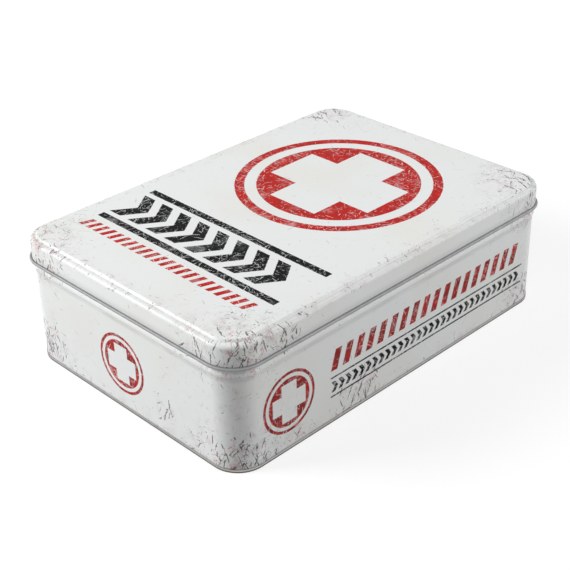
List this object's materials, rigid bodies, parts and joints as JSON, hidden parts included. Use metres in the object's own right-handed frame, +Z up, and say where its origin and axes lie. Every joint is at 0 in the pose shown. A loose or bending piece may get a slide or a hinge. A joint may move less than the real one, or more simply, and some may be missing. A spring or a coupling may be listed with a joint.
{
  "type": "storage tin",
  "caption": "Flat rectangular storage tin of folded tinplate with rounded corners and a wire-hinged lid.",
  "frame": {"origin": "middle of the footprint, on the surface that the tin stands on", "axes": "X along the long side, -Y the printed front, +Y the hinge side, +Z up"},
  "size_m": [0.23, 0.16, 0.07],
  "materials": {
    "white_enamel": "semi-gloss white stoving enamel with worn printed figures, bare tinplate inside",
    "bare_tinplate": "dull tinplate",
    "hinge_wire": "drawn steel wire"
  },
  "bodies": {
    "tin": {"body_wall": "white_enamel", "base_panel": "bare_tinplate"},
    "lid_assembly": {"lid": "white_enamel", "hinge_wire_left": "hinge_wire", "hinge_wire_right": "hinge_wire"}
  },
  "joints": [
    {"name": "lid_hinge", "type": "hinge", "parent": "tin", "child": "lid_assembly", "pos_m": [0, 0.07921, 0.05739], "axis": [-1, 0, 0], "range_deg": [0, 110]}
  ]
}
